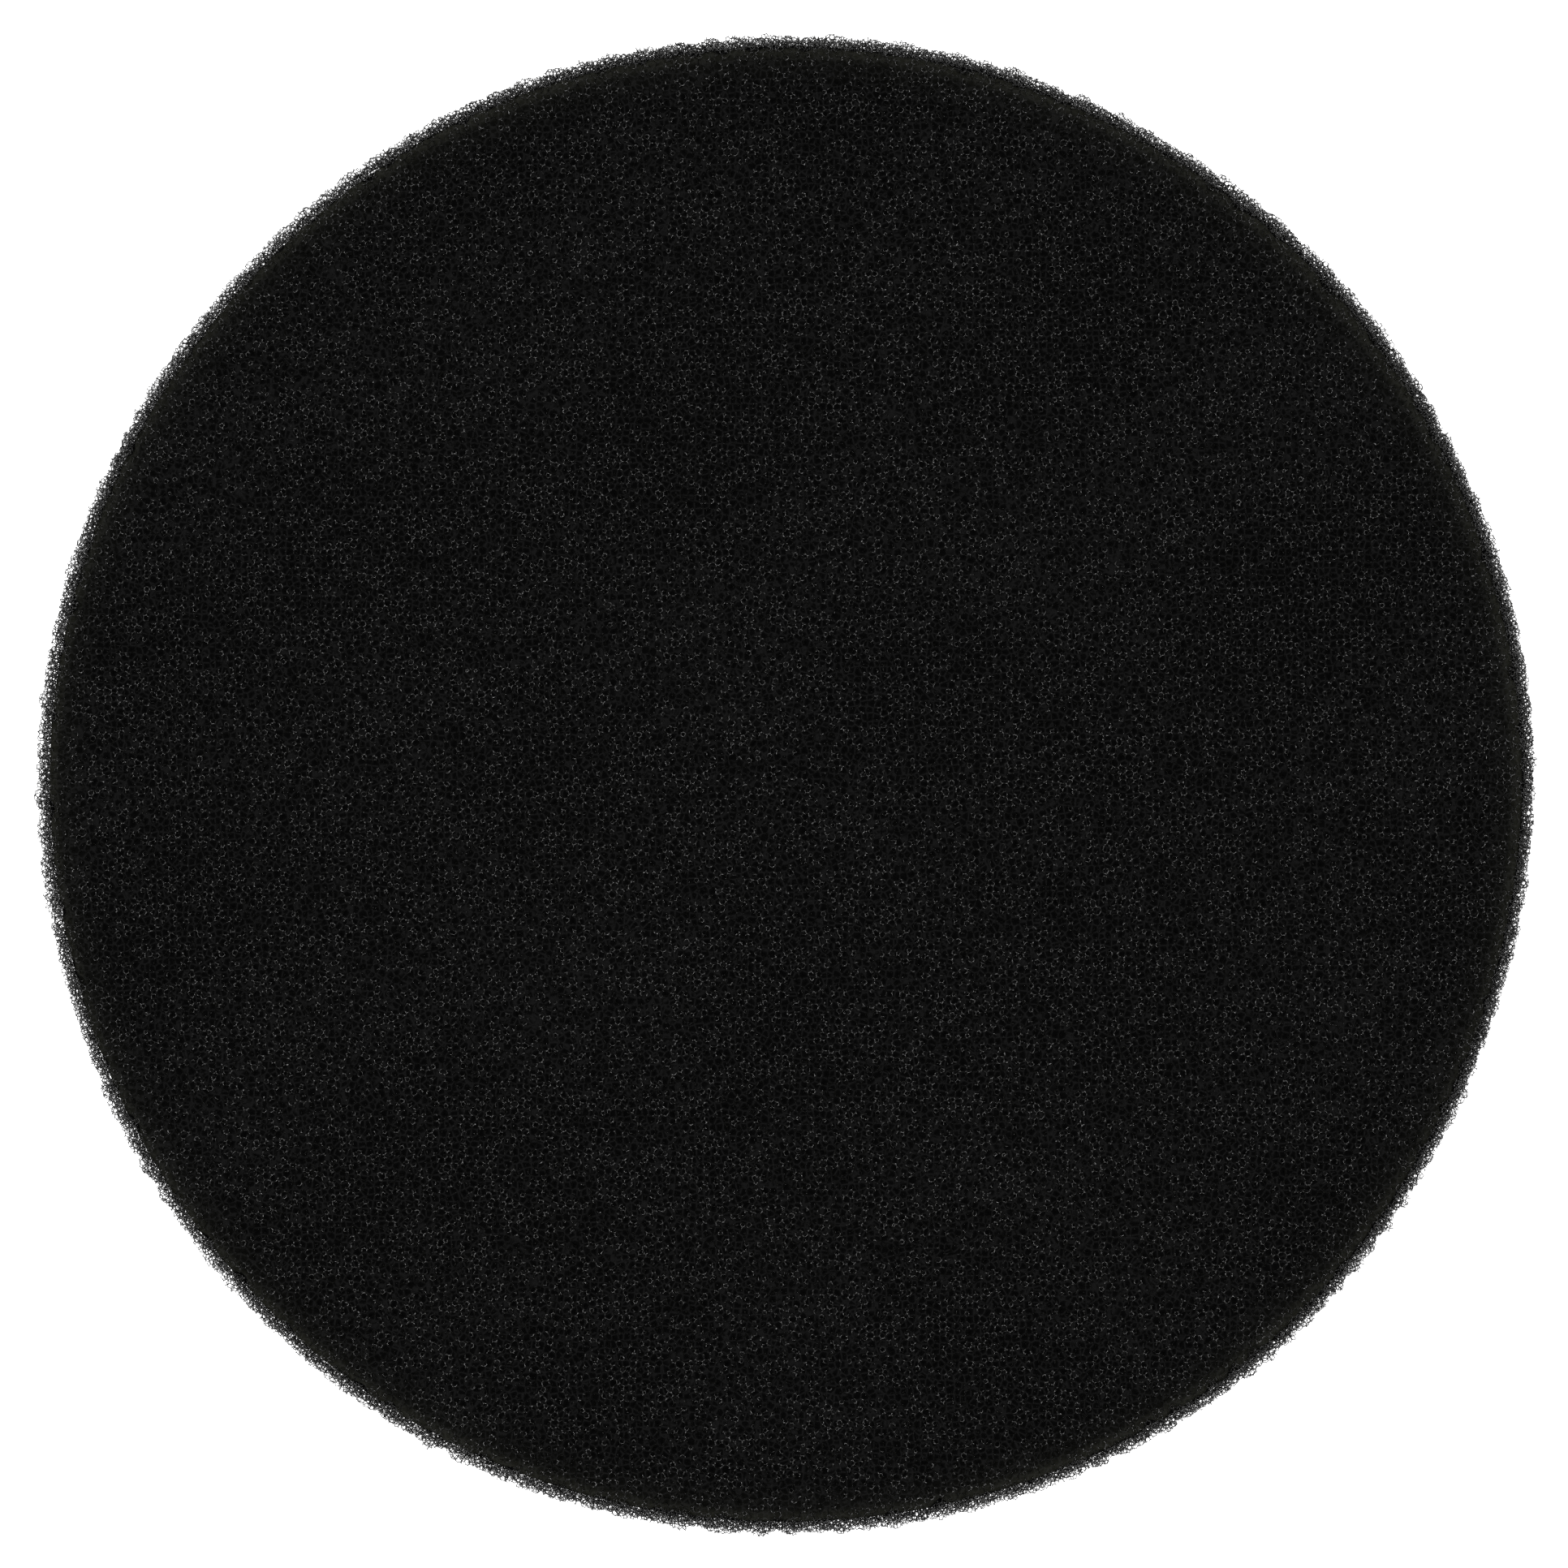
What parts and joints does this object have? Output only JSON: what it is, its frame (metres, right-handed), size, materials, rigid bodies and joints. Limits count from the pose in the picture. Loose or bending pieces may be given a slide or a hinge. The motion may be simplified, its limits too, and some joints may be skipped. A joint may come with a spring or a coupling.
{
  "type": "polishing pad",
  "caption": "Flat round black open-cell foam pad with a loop fabric backing, for polishing paint on a machine with a hook-faced plate.",
  "frame": {"origin": "centre of the loop face, at the tips of the loops, the lowest level of the pad", "axes": "+Z along the pad's axis and out of the working foam face; X and Y lie in the pad's plane and are interchangeable"},
  "size_m": [0.15, 0.15, 0.0285],
  "materials": {
    "black_foam": "matte",
    "hot_melt_film": "satin",
    "knitted_ground": "matte",
    "nylon_loops": "satin"
  },
  "bodies": {
    "root": {"foam_disc": "black_foam", "adhesive_film": "hot_melt_film", "backing_cloth": "knitted_ground", "loop_pile": "nylon_loops"}
  },
  "joints": []
}
